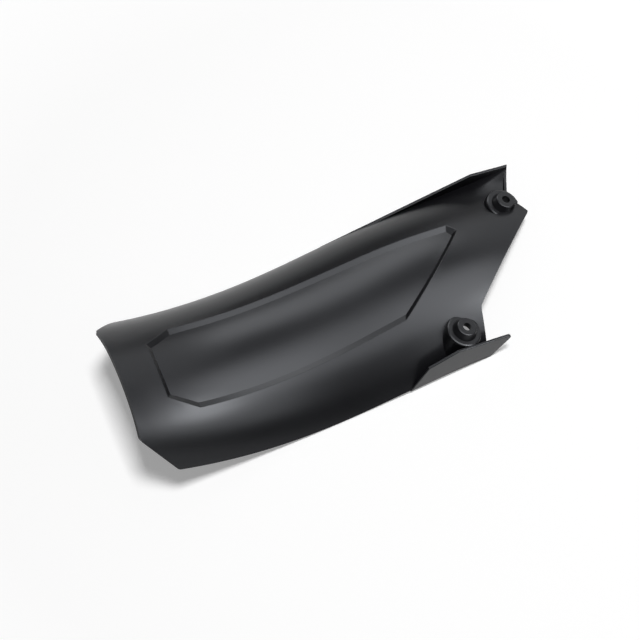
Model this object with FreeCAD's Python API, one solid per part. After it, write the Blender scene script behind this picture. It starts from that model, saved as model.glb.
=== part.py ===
import FreeCAD
import Part
import math
import os

vec = FreeCAD.Vector

# Wall and arch. Lengths are millimetres, angles degrees, and stations run along the flap from the toe.
wall = 2.2
toe_half_width = 63.8
full_half_width = 70.5
width_run = 200.0
toe_edge_angle = 68.2
mount_edge_angle = 54.0
edge_angle_run = 300.0

# Crest along the length: a parabola up to the toe and a wave up to the mount end.
dip_station = 125.0
toe_rise = 37.3
wave_height = 14.2
wave_run = 133.0

# Turn about Y that lays the flap on its side edges and the foot of the near wing.
rest_pitch = 6.8

# Lower end, called the toe: a hollow edge between two cut corners.
toe_hollow = 3.0
toe_cut_width = 16.8
toe_cut_run = 19.5
toe_corner_round = 5.0
toe_half_edge = toe_half_width - toe_cut_width

# Stepped mount bosses on parallel axes, set in from the side edges.
upper_boss_station = 329.7
upper_boss_inset = 36.5
upper_boss_stand = 1.5
upper_bore_length = 9.8
lower_boss_back = 76.1
lower_boss_inset = 16.9
lower_boss_stand = 8.0
lower_bore_length = 2.4
boss_tilt = 17.0
boss_radius = 13.7
boss_edge_break = 1.4
collar_base_radius = 9.6
collar_radius = 7.7
collar_height = 5.6
collar_edge_break = 0.8
bolt_hole_radius = 3.25
upper_boss_side = full_half_width - upper_boss_inset
lower_boss_station = upper_boss_station - lower_boss_back
lower_boss_side = lower_boss_inset - full_half_width

# Slanted mount end, measured from the boss axes: runs along the flap, widths across it.
near_end_run = 14.2
near_corner_run = 20.3
near_corner_width = 13.6
near_corner_round = 10.0
slant_run = 14.5
slant_width = 13.9
nose_run = 10.5
nose_width = 1.6
nose_round = 2.0
notch_run = 4.8
notch_width = 2.0
far_tip_run = 22.3
notch_station = upper_boss_station + notch_run
notch_side = upper_boss_side + notch_width
far_tip_station = upper_boss_station + far_tip_run

# Lift of the far side, which fills the gutter towards the far tip.
lift_run = 117.0
lift_width = 32.5
lift_height = 22.4

# Low rib on the end edge, from the upper boss to the far wing.
rib_height = 1.5
rib_slope_run = 1.7

# Upright wings, set out from the lower boss and from the far tip; heights are above the side edge.
wing_lean = 3.0
wing_foot = 1.6
wing_step = 0.2
near_wing_start_back = 50.1
near_wing_low_back = 35.9
near_wing_low_height = 22.5
near_wing_top_back = 11.5
near_wing_top_height = 28.6
near_wing_foot_run = 16.9
near_wing_tip_run = 34.4
near_wing_tip_height = 20.6
near_wing_tip_round = 3.0
far_wing_length = 162.0
far_wing_start_height = 0.4
far_wing_top_back = 34.1
far_wing_top_height = 15.7
far_wing_tip_height = 2.0

# Recessed panel: its outline on the convex face, the depth of its floor and the run of its sloped walls.
panel_depth = 2.8
panel_extra_depth = 1.2
panel_extra_run = 60.0
panel_slope_run = 3.5
panel_slant_slope_run = 1.8
panel_left = 30.2
panel_left_half = 22.7
panel_cut_run = 19.8
panel_cut_half = 33.7
panel_waist_run = 145.0
panel_waist_half = 29.2
panel_corner_back = 46.5
panel_corner_side = 22.9
panel_far_cut_run = 5.2
panel_slant_run = 66.5
panel_slant_bow = 2.3
panel_corner_round = 1.6
panel_rim_round = 0.8
panel_margin = 14.0
panel_cut_station = panel_left + panel_cut_run
panel_waist_station = panel_cut_station + panel_waist_run
panel_corner_station = upper_boss_station - panel_corner_back
panel_sides = ("left", "near_cut", "near_long", "slant", "far_cut", "far_long", "left_cut")

# Rounding of the wings' edges.
edge_round = 0.7

# Cutting bodies run this far past the flap; surfaces and joining bodies overlap by less.
clear = full_half_width
shell_margin = 8.0
overlap = 0.5

# Half the span over which the slope of the face is read.
slope_step = 0.05

# Numbers of points that surfaces and curves pass through.
along_marks = 13
across_marks = 9
curve_marks = 7
rib_marks = 3


def ease(x, run):
    share = min(x / run, 1.0)
    return 1.0 - (1.0 - share) ** 2


def crest_height(x):
    if x < dip_station:
        return toe_rise * (1.0 - x / dip_station) ** 2
    return 0.5 * wave_height * (1.0 - math.cos(math.pi * (x - dip_station) / wave_run))


def half_width(x):
    return toe_half_width + (full_half_width - toe_half_width) * ease(x, width_run)


def edge_angle(x):
    return math.radians(toe_edge_angle + (mount_edge_angle - toe_edge_angle) * ease(x, edge_angle_run))


def arch_radius(x):
    return half_width(x) / math.sin(edge_angle(x))


def side_lift(x, y):
    along = max(x - far_tip_station + lift_run, 0.0) / lift_run
    across = max(y - full_half_width + lift_width, 0.0) / lift_width
    return lift_height * along ** 2 * across ** 2


def face_point(x, y):
    radius = arch_radius(x)
    drop = radius - math.sqrt(radius * radius - y * y)
    return vec(x, y, crest_height(x) - drop + side_lift(x, y))


def face_normal(x, y):
    along = face_point(x + slope_step, y) - face_point(x - slope_step, y)
    across = face_point(x, y + slope_step) - face_point(x, y - slope_step)
    normal = along.cross(across)
    normal.normalize()
    return normal


def offset_point(x, y, offset):
    return face_point(x, y) + face_normal(x, y) * offset


def spaced(first, last, count):
    return [first + (last - first) * i / (count - 1) for i in range(count)]


def outward(solid):
    if solid.Volume < 0:
        solid.reverse()
    return solid


def prism(points, direction):
    wire = Part.makePolygon(points + [points[0]])
    return outward(Part.Face(wire).extrude(direction))


def surface_through(rows):
    surface = Part.BSplineSurface()
    surface.interpolate(rows)
    return surface


def border(surface):
    # The four side curves of a surface, in a fixed order.
    first_row, last_row, first_column, last_column = surface.bounds()
    rows = [surface.uIso(first_row), surface.uIso(last_row)]
    columns = [surface.vIso(first_column), surface.vIso(last_column)]
    return [curve.toShape() for curve in rows + columns]


def solid_between(low_rows, high_rows):
    # A closed body whose lower and upper faces pass through two grids of points.
    low = surface_through(low_rows)
    high = surface_through(high_rows)
    faces = [low.toShape(), high.toShape()]
    faces += [Part.makeRuledSurface(one, two) for one, two in zip(border(low), border(high))]
    shell = Part.Shell(faces)
    shell.sewShape()
    return outward(Part.Solid(Part.Shell(shell.Faces)))


def nearest_edges(shape, marks):
    chosen = {}
    for mark in marks:
        vertex = Part.Vertex(mark)
        best = min(shape.Edges, key=lambda edge: edge.distToShape(vertex)[0])
        chosen[best.hashCode()] = best
    return list(chosen.values())


def rounded(shape, radius, marks):
    # Rounds the edges that lie nearest to the marks.
    return shape.makeFillet(radius, nearest_edges(shape, marks)).Solids[0]


def arched_shell():
    # Rows of points at even angles around the arch, on its outer and inner face.
    faces = []
    for offset in (-wall, 0.0):
        rows = []
        for x in spaced(-shell_margin, far_tip_station + shell_margin, along_marks):
            angles = spaced(-edge_angle(x), edge_angle(x), across_marks)
            rows.append([offset_point(x, arch_radius(x) * math.sin(angle), offset) for angle in angles])
        faces.append(rows)
    return solid_between(faces[0], faces[1])


def cut_toe(shape):
    # The toe edge is cut square to the wall along a shallow arc, then each corner along a straight line.
    normal = face_normal(0.0, 0.0)
    marks = [face_point(0.0, toe_half_edge), face_point(toe_hollow, 0.0),
             face_point(0.0, -toe_half_edge)]
    far, middle, near = [mark - normal * (mark.dot(normal) + clear) for mark in marks]
    side = vec(0.0, clear, 0.0)
    back = vec(-clear, 0.0, 0.0)
    back = back - normal * back.dot(normal)
    arc = Part.Arc(far, middle, near).toShape()
    rest = Part.makePolygon([near, near - side, near - side + back, far + side + back, far + side, far])
    face = Part.Face(Part.Wire([arc] + rest.Edges))
    shape = shape.cut(outward(face.extrude(normal * 2.0 * clear)))
    marks = []
    for sign in (1.0, -1.0):
        edge_side = sign * half_width(toe_cut_run)
        start = face_point(0.0, sign * toe_half_edge)
        end = face_point(toe_cut_run, edge_side)
        along = (end - start).normalize()
        out = face_normal(0.5 * toe_cut_run, 0.5 * (sign * toe_half_edge + edge_side))
        away = out.cross(along) * sign
        first = start - along * clear - out * clear
        last = end + along * clear - out * clear
        rise = out * 2.0 * clear
        shape = shape.cut(prism([first, last, last + rise, first + rise], away * clear))
        marks.append(offset_point(0.0, sign * toe_half_edge, -0.5 * wall))
        marks.append(offset_point(toe_cut_run, edge_side, -0.5 * wall))
    return rounded(shape, toe_corner_round, marks)


def end_rib():
    # The rib's rows cross the end edge; the end cut trims them flush.
    low = []
    high = []
    for share in spaced(0.0, 1.0, across_marks):
        x = notch_station + (far_tip_station - notch_station) * share
        y = notch_side + (full_half_width - 0.5 * wall - notch_side) * share
        foot = spaced(x + wall, x - wall - rib_slope_run, rib_marks)
        top = spaced(x + wall, x - wall, rib_marks)
        low.append([offset_point(station, y, -0.5 * wall) for station in foot])
        high.append([offset_point(station, y, rib_height) for station in top])
    return solid_between(low, high)


def cut_mount_end(shape):
    # The waste beyond the slanted end, as an upright prism with rounded corners.
    near_end = vec(lower_boss_station + near_end_run, -full_half_width, -clear)
    corner = vec(lower_boss_station + near_corner_run, lower_boss_side + near_corner_width, -clear)
    slant = vec(upper_boss_station + slant_run, upper_boss_side - slant_width, -clear)
    nose = vec(upper_boss_station + nose_run, upper_boss_side - nose_width, -clear)
    notch = vec(notch_station, notch_side, -clear)
    far_tip = vec(far_tip_station, full_half_width, -clear)
    near_out = near_end + (near_end - corner).normalize() * clear
    far_out = far_tip + (far_tip - notch).normalize() * clear
    beyond = far_tip_station + 2.0 * clear
    outline = [near_out, corner, slant, nose, notch, far_out,
               vec(beyond, far_out.y, -clear), vec(beyond, near_out.y, -clear)]
    height = vec(0.0, 0.0, 2.0 * clear)
    waste = prism(outline, height)
    waste = rounded(waste, near_corner_round, [corner + height * 0.5])
    return shape.cut(rounded(waste, nose_round, [slant + height * 0.5]))


def panel_half(x):
    share = (x - panel_waist_station) / panel_waist_run
    return panel_waist_half + (panel_cut_half - panel_waist_half) * share * share


def panel_sink(x, y):
    # The panel floor is flatter than the arch, so it lies deeper along the crest.
    along = ease(x - panel_left, panel_extra_run)
    return panel_extra_depth * along * (1.0 - (y / panel_waist_half) ** 2)


def slab(low, high):
    # Layer under or over the panel; its lower face follows the panel floor.
    stations = spaced(panel_left - panel_margin, panel_corner_station + panel_margin, along_marks)
    sides = spaced(-panel_cut_half - panel_margin, panel_cut_half + panel_margin, across_marks)
    low_rows = [[offset_point(x, y, low - panel_sink(x, y)) for y in sides] for x in stations]
    high_rows = [[offset_point(x, y, high) for y in sides] for x in stations]
    return solid_between(low_rows, high_rows)


def line_inset(first, last, inset):
    # A side moved towards the middle of the panel, as a point and a direction.
    along = (last - first).normalize()
    return first + vec(-along.y, along.x, 0.0) * inset, along


def crossing(one, two):
    (start, along), (other_start, other_along) = one, two
    gap = other_start - start
    share = gap.cross(other_along).z / along.cross(other_along).z
    return start + along * share


def panel_corners(level, gap):
    # Corners, in plan, of the sloped walls on one level of the face, with the walls moved out by a gap.
    far_cut = panel_corner_station - panel_far_cut_run
    low = panel_corner_station - panel_slant_run
    corners = [vec(panel_left, panel_left_half, 0.0), vec(panel_left, -panel_left_half, 0.0),
               vec(panel_cut_station, -panel_cut_half, 0.0), vec(low, -panel_half(low), 0.0),
               vec(panel_corner_station, panel_corner_side, 0.0), vec(far_cut, panel_half(far_cut), 0.0),
               vec(panel_cut_station, panel_cut_half, 0.0)]
    count = len(corners)
    sides = []
    for i, side in enumerate(panel_sides):
        run = panel_slant_slope_run if side == "slant" else panel_slope_run
        inset = (-level * run - gap * math.hypot(run, panel_depth)) / panel_depth
        sides.append(line_inset(corners[i], corners[(i + 1) % count], inset))
    return [crossing(sides[i - 1], sides[i]) for i in range(count)]


def panel_ring(level, gap):
    # Curves around the panel on one level; the long sides follow the waist and the slant is bowed.
    corners = panel_corners(level, gap)
    curves = []
    for i, side in enumerate(panel_sides):
        first = corners[i]
        last = corners[(i + 1) % len(corners)]
        along = (last - first).normalize()
        marks = []
        for share in spaced(0.0, 1.0, curve_marks):
            point = first + (last - first) * share
            if side in ("near_long", "far_long"):
                straight = panel_half(first.x) + (panel_half(last.x) - panel_half(first.x)) * share
                point.y += math.copysign(panel_half(point.x) - straight, point.y)
            if side == "slant":
                point += vec(along.y, -along.x, 0.0) * panel_slant_bow * 4.0 * share * (1.0 - share)
            marks.append(offset_point(point.x, point.y, level))
        curve = Part.BSplineCurve()
        curve.interpolate(marks)
        curves.append(curve.toShape())
    return curves


def panel_plug(low, high, gap):
    # The piece of a layer that lies inside the sloped panel walls.
    top = panel_ring(high + overlap, gap)
    bottom = panel_ring(low - panel_extra_depth - overlap, gap)
    tube = Part.Shell([Part.makeRuledSurface(one, two) for one, two in zip(top, bottom)])
    tube.sewShape()
    pieces = slab(low, high).generalFuse([tube])[0]
    middle = offset_point(panel_waist_station, 0.0, 0.5 * (low + high))
    close = Part.Precision.confusion()
    return [solid for solid in pieces.Solids if solid.isInside(middle, close, False)][0]


def make_panel(shape):
    # The wall under the panel is joined first, then the recess is cut into it.
    shape = shape.fuse(panel_plug(-panel_depth - wall, -0.5 * wall, wall))
    recess = panel_plug(-panel_depth, wall, 0.0)
    corners = [offset_point(corner.x, corner.y, 0.0) for corner in panel_corners(0.0, 0.0)]
    shape = shape.cut(rounded(recess, panel_corner_round, corners))
    rim = []
    for curve in panel_ring(0.0, 0.0):
        rim.append(curve.valueAt(0.5 * (curve.FirstParameter + curve.LastParameter)))
    return rounded(shape, panel_rim_round, rim)


def edge_height(x, sign):
    return face_point(x, sign * half_width(x)).z


def wing(first_station, last_station, tops, sign, tip_round):
    # An upright wall over the side edge, leaning towards the middle; its foot follows the edge.
    stations = spaced(first_station, last_station, curve_marks)
    foot = [vec(x, 0.0, edge_height(x, sign) - wing_foot) for x in stations]
    curve = Part.BSplineCurve()
    curve.interpolate(foot)
    corners = [foot[0]] + [vec(x, 0.0, z) for x, z in tops] + [foot[-1]]
    outline = Part.makePolygon(list(reversed(corners)))
    face = Part.Face(Part.Wire([curve.toShape()] + outline.Edges))
    across = vec(0.0, -sign * wall, 0.0)
    solid = outward(face.extrude(across))
    if tip_round:
        solid = rounded(solid, tip_round, [corners[-2] + across * 0.5])
    marks = []
    for first, last in zip(corners, corners[1:]):
        middle = (first + last) * 0.5
        marks += [middle, middle + across]
    solid = rounded(solid, edge_round, marks)
    solid.translate(vec(0.0, sign * (full_half_width + wing_step), 0.0))
    pivot = vec(first_station, sign * full_half_width, edge_height(first_station, sign))
    solid.rotate(pivot, vec(1.0, 0.0, 0.0), sign * wing_lean)
    return solid


def near_wing():
    start = lower_boss_station - near_wing_start_back
    low = lower_boss_station - near_wing_low_back
    top = lower_boss_station - near_wing_top_back
    end = lower_boss_station + near_wing_foot_run
    tops = [(low, edge_height(low, -1.0) + near_wing_low_height),
            (top, edge_height(top, -1.0) + near_wing_top_height),
            (lower_boss_station + near_wing_tip_run, edge_height(end, -1.0) + near_wing_tip_height)]
    return wing(start, end, tops, -1.0, near_wing_tip_round)


def far_wing():
    # The end cut trims this wing at the far tip, so it runs past the tip.
    start = far_tip_station - far_wing_length
    top = far_tip_station - far_wing_top_back
    end = far_tip_station + wall
    tops = [(start, edge_height(start, 1.0) + far_wing_start_height),
            (top, edge_height(top, 1.0) + far_wing_top_height),
            (end, edge_height(far_tip_station, 1.0) + far_wing_tip_height)]
    return wing(start, end, tops, 1.0, 0.0)


def softened(radius, top, size):
    # An outer edge broken by two narrow cones.
    middle = size * (1.0 - math.sqrt(0.5))
    return [(radius, top - size), (radius - middle, top - middle), (radius - size, top)]


def turned(section):
    marks = [vec(radius, 0.0, height) for radius, height in section]
    face = Part.Face(Part.makePolygon(marks + [marks[0]]))
    return outward(face.revolve(vec(0.0, 0.0, 0.0), vec(0.0, 0.0, 1.0), 360.0))


def boss_body():
    # Stepped boss turned from its half section: a ring with its top at zero, and a tapered collar on it.
    section = [(0.0, -clear), (boss_radius, -clear)]
    section += softened(boss_radius, 0.0, boss_edge_break)
    section += [(collar_base_radius, 0.0)]
    section += softened(collar_radius, collar_height, collar_edge_break)
    return turned(section + [(0.0, collar_height)])


def boss_cavity(bore_length):
    # The hollow from below, which leaves the ring's wall and the length of the bore.
    ring = boss_radius - wall
    sleeve = collar_radius - wall
    roof = collar_height - bore_length
    section = [(0.0, -clear), (ring, -clear), (ring, -wall), (sleeve, -wall), (sleeve, roof), (0.0, roof)]
    return turned(section)


def boss_room():
    # Space over the middle of the wall, so that each boss ends inside the wall and the near wing.
    low = []
    for x in spaced(lower_boss_station - 2.0 * boss_radius, far_tip_station + shell_margin, along_marks):
        reach = half_width(x) - 0.5 * wall
        sides = spaced(-reach, reach, 2 * across_marks - 1)
        low.append([offset_point(x, y, -0.5 * wall) for y in sides])
    high = [[vec(point.x, point.y, clear) for point in row] for row in low]
    return solid_between(low, high)


def add_bosses(shape):
    room = boss_room()
    bosses = [(lower_boss_station, lower_boss_side, lower_boss_stand, lower_bore_length),
              (upper_boss_station, upper_boss_side, upper_boss_stand, upper_bore_length)]
    for x, y, stand, bore_length in bosses:
        place = FreeCAD.Placement(face_point(x, y) + vec(0.0, 0.0, stand),
                                  FreeCAD.Rotation(vec(0.0, 1.0, 0.0), boss_tilt))
        body = boss_body()
        cavity = boss_cavity(bore_length)
        hole = Part.makeCylinder(bolt_hole_radius, 2.0 * clear, vec(0.0, 0.0, -clear))
        for solid in (body, cavity, hole):
            solid.Placement = place
        shape = shape.fuse(body.common(room))
        shape = shape.cut([cavity, hole])
    return shape


flap = arched_shell()
flap = cut_toe(flap)
flap = flap.fuse(end_rib())
flap = flap.fuse(far_wing())
flap = cut_mount_end(flap)
flap = make_panel(flap)
flap = flap.fuse(near_wing())
flap = add_bosses(flap)
print("solids", [round(solid.Volume, 3) for solid in flap.Solids])
flap = flap.Solids[0]
flap.rotate(vec(0.0, 0.0, 0.0), vec(0.0, 1.0, 0.0), rest_pitch)
box = flap.optimalBoundingBox()
flap.translate(vec(-0.5 * (box.XMin + box.XMax), -0.5 * (box.YMin + box.YMax), -box.ZMin))
print("valid", flap.isValid(), "volume", round(flap.Volume), "faces", len(flap.Faces))
print("box", flap.optimalBoundingBox())

os.makedirs("parts", exist_ok=True)
flap.exportStep("parts/flap.step")
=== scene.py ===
import bpy
import math
from mathutils import Matrix, Vector

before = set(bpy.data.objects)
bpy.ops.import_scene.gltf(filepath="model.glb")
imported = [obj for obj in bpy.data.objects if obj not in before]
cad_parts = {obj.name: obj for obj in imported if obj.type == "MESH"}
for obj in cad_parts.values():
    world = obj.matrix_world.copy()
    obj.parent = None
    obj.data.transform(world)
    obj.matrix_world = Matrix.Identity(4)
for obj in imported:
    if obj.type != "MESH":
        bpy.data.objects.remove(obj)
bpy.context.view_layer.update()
print("frame loaded", list(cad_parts))

# camera, read from the photo: a long lens high over the near side, rolled a little
cameraSet = {
    "aim": (-0.02588, 0.0, 0.03851),
    "azimuth": 261.06,
    "elevation": 66.38,
    "roll": -15.74,
    "distance": 1.14114,
    "lens": 85.59,
    "sensor": 36,
    "shift": (0.01786, 0.0035),
}


def placeCamera():
    azimuth = math.radians(cameraSet["azimuth"])
    elevation = math.radians(cameraSet["elevation"])
    flat = math.cos(elevation)
    back = Vector((math.cos(azimuth) * flat, math.sin(azimuth) * flat, math.sin(elevation)))
    right = Vector((0, 0, 1)).cross(back).normalized()
    right = Matrix.Rotation(math.radians(cameraSet["roll"]), 3, back) @ right
    up = back.cross(right)
    data = bpy.data.cameras.new("photoCamera")
    data.lens = cameraSet["lens"]
    data.sensor_width = cameraSet["sensor"]
    data.shift_x, data.shift_y = cameraSet["shift"]
    camera = bpy.data.objects.new("photoCamera", data)
    place = Matrix((right, up, back)).transposed().to_4x4()
    place.translation = Vector(cameraSet["aim"]) + back * cameraSet["distance"]
    camera.matrix_world = place
    bpy.context.scene.collection.objects.link(camera)
    bpy.context.scene.camera = camera
    print("camera at", [round(v, 4) for v in place.translation])


# black polypropylene as it leaves the mould: nearly even colour, satin skin with a fine grain
plasticSet = {
    "deep": (0.0035, 0.0035, 0.0045, 1),
    "pale": (0.0075, 0.0075, 0.0085, 1),
    "tint": (0.92, 0.95, 1, 1),
    "roughLow": 0.28,
    "roughHigh": 0.33,
    "ior": 1.49,
    "gloss": 0.29,
    "cloudScale": 14,
    "cloudDetail": 3,
    "grainScale": 1500,
    "grainDetail": 2,
    "grainHeight": 0.06,
    "grainDepth": 0.0001,
}


def makePlastic():
    plastic = bpy.data.materials.new("satinBlackPlastic")
    plastic.use_nodes = True
    nodes = plastic.node_tree.nodes
    links = plastic.node_tree.links
    shader = nodes["Principled BSDF"]
    shader.inputs["IOR"].default_value = plasticSet["ior"]
    shader.inputs["Specular IOR Level"].default_value = plasticSet["gloss"]
    shader.inputs["Specular Tint"].default_value = plasticSet["tint"]
    where = nodes.new("ShaderNodeTexCoord")

    # slow clouds drive the body colour and the roughness together
    cloud = nodes.new("ShaderNodeTexNoise")
    cloud.inputs["Scale"].default_value = plasticSet["cloudScale"]
    cloud.inputs["Detail"].default_value = plasticSet["cloudDetail"]
    links.new(where.outputs["Object"], cloud.inputs["Vector"])
    tint = nodes.new("ShaderNodeMix")
    tint.data_type = "RGBA"
    tint.inputs["A"].default_value = plasticSet["deep"]
    tint.inputs["B"].default_value = plasticSet["pale"]
    links.new(cloud.outputs["Fac"], tint.inputs["Factor"])
    links.new(tint.outputs["Result"], shader.inputs["Base Color"])
    gloss = nodes.new("ShaderNodeMapRange")
    gloss.inputs["To Min"].default_value = plasticSet["roughLow"]
    gloss.inputs["To Max"].default_value = plasticSet["roughHigh"]
    links.new(cloud.outputs["Fac"], gloss.inputs["Value"])
    links.new(gloss.outputs["Result"], shader.inputs["Roughness"])

    # mould grain
    grain = nodes.new("ShaderNodeTexNoise")
    grain.inputs["Scale"].default_value = plasticSet["grainScale"]
    grain.inputs["Detail"].default_value = plasticSet["grainDetail"]
    links.new(where.outputs["Object"], grain.inputs["Vector"])
    bump = nodes.new("ShaderNodeBump")
    bump.inputs["Strength"].default_value = plasticSet["grainHeight"]
    bump.inputs["Distance"].default_value = plasticSet["grainDepth"]
    links.new(grain.outputs["Fac"], bump.inputs["Height"])
    links.new(bump.outputs["Normal"], shader.inputs["Normal"])
    return plastic


def dressFlap():
    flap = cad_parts["flap"]
    flap.data.materials.clear()
    flap.data.materials.append(makePlastic())
    print("flap dressed")


# floor in pale grey paper: camera, gloss and glass see it as white card, and it keeps the shadow
# its glow grows outwards, where the lamp on the floor falls off
floorSet = {
    "half": 9,
    "pale": (0.45, 0.45, 0.45, 1),
    "white": (0.78, 0.78, 0.78, 1),
    "rough": 0.9,
    "gloss": 0,
    "glowColour": (1, 1, 1, 1),
    "glowNear": 0.29,
    "glowFar": 0.97,
    "nearReach": 0.3,
    "farReach": 2.2,
}


def seenRays(nodes, links):
    path = nodes.new("ShaderNodeLightPath")
    sharp = nodes.new("ShaderNodeMath")
    sharp.operation = "MAXIMUM"
    links.new(path.outputs["Is Camera Ray"], sharp.inputs[0])
    links.new(path.outputs["Is Glossy Ray"], sharp.inputs[1])
    seen = nodes.new("ShaderNodeMath")
    seen.operation = "MAXIMUM"
    links.new(sharp.outputs[0], seen.inputs[0])
    links.new(path.outputs["Is Transmission Ray"], seen.inputs[1])
    return seen.outputs[0]


def makeFloor():
    bpy.ops.mesh.primitive_plane_add(size=2 * floorSet["half"], location=(0, 0, 0))
    floor = bpy.context.object
    floor.name = "studioFloor"
    paper = bpy.data.materials.new("palePaper")
    paper.use_nodes = True
    nodes = paper.node_tree.nodes
    links = paper.node_tree.links
    shader = nodes["Principled BSDF"]
    shader.inputs["Roughness"].default_value = floorSet["rough"]
    shader.inputs["Specular IOR Level"].default_value = floorSet["gloss"]
    shader.inputs["Emission Color"].default_value = floorSet["glowColour"]
    seen = seenRays(nodes, links)
    tone = nodes.new("ShaderNodeMix")
    tone.data_type = "RGBA"
    tone.inputs["A"].default_value = floorSet["pale"]
    tone.inputs["B"].default_value = floorSet["white"]
    links.new(seen, tone.inputs["Factor"])
    links.new(tone.outputs["Result"], shader.inputs["Base Color"])
    where = nodes.new("ShaderNodeTexCoord")
    away = nodes.new("ShaderNodeVectorMath")
    away.operation = "LENGTH"
    links.new(where.outputs["Object"], away.inputs[0])
    level = nodes.new("ShaderNodeMapRange")
    level.inputs["From Min"].default_value = floorSet["nearReach"]
    level.inputs["From Max"].default_value = floorSet["farReach"]
    level.inputs["To Min"].default_value = floorSet["glowNear"]
    level.inputs["To Max"].default_value = floorSet["glowFar"]
    links.new(away.outputs["Value"], level.inputs["Value"])
    glow = nodes.new("ShaderNodeMath")
    glow.operation = "MULTIPLY"
    links.new(level.outputs["Result"], glow.inputs[0])
    links.new(seen, glow.inputs[1])
    links.new(glow.outputs[0], shader.inputs["Emission Strength"])
    paper.cycles.emission_sampling = "NONE"  # the glow is only seen, it isn't a lamp
    floor.data.materials.append(paper)
    print("floor laid")


# lamps: angle up from the far side, angle towards the mount end, turn about their own line
lightSet = {
    "keyBox": {"across": 130, "along": 40, "turn": 0, "distance": 2.4,
               "size": (0.54, 0.9), "radiance": 15},
    "nearBox": {"across": 137, "along": 31, "turn": 0, "distance": 1.8,
                "size": (1.35, 1.3), "radiance": 2.3},
    "topBox": {"across": 101.5, "along": 8.5, "turn": 0, "distance": 1.2,
               "size": (1.85, 1.1), "radiance": 2.95},
    "riseBox": {"across": 100, "along": 32, "turn": 0, "distance": 1.6,
                "size": (1.65, 0.8), "radiance": 1.8},
    "farBox": {"across": 45.5, "along": 3, "turn": 21, "distance": 1.2,
               "size": (1.2, 0.43), "radiance": 4.4},
    "endBox": {"across": 36, "along": 48, "turn": 0, "distance": 1.2,
               "size": (1.0, 0.85), "radiance": 1.2},
    "dropLight": {"across": 94, "along": 9.5, "turn": 0, "distance": 3.0,
                  "size": (0.6, 0.6), "radiance": 53},
}
bodyLamp = "dropLight"  # lights the floor and the body colour, the boxes shine in the gloss
wattsPerRadiance = 4  # for a square metre of lamp


def makeLights():
    aim = Vector(cameraSet["aim"])
    for name, one in lightSet.items():
        across = math.radians(one["across"])
        along = math.radians(one["along"])
        flat = math.cos(along)
        out = Vector((math.sin(along), flat * math.cos(across), flat * math.sin(across)))
        side = (Vector((1, 0, 0)) - out * out.x).normalized()
        side = Matrix.Rotation(math.radians(one["turn"]), 3, out) @ side
        data = bpy.data.lights.new(name, "AREA")
        data.shape = "RECTANGLE"
        data.size, data.size_y = one["size"]
        data.energy = wattsPerRadiance * data.size * data.size_y * one["radiance"]
        lamp = bpy.data.objects.new(name, data)
        place = Matrix((side, out.cross(side), out)).transposed().to_4x4()
        place.translation = aim + out * one["distance"]
        lamp.matrix_world = place
        lamp.visible_diffuse = name == bodyLamp
        lamp.visible_glossy = name != bodyLamp
        bpy.context.scene.collection.objects.link(lamp)
    print("lamps set", len(lightSet))


# a dim, even fill from all around
worldSet = {
    "colour": (1, 1, 1, 1),
    "strength": 0.08,
}


def makeWorld():
    world = bpy.data.worlds.new("studio")
    bpy.context.scene.world = world
    world.use_nodes = True
    ground = world.node_tree.nodes["Background"]
    ground.inputs["Color"].default_value = worldSet["colour"]
    ground.inputs["Strength"].default_value = worldSet["strength"]
    print("world set", worldSet["strength"])


placeCamera()
dressFlap()
makeFloor()
makeLights()
makeWorld()
bpy.context.scene.view_settings.view_transform = "Standard"
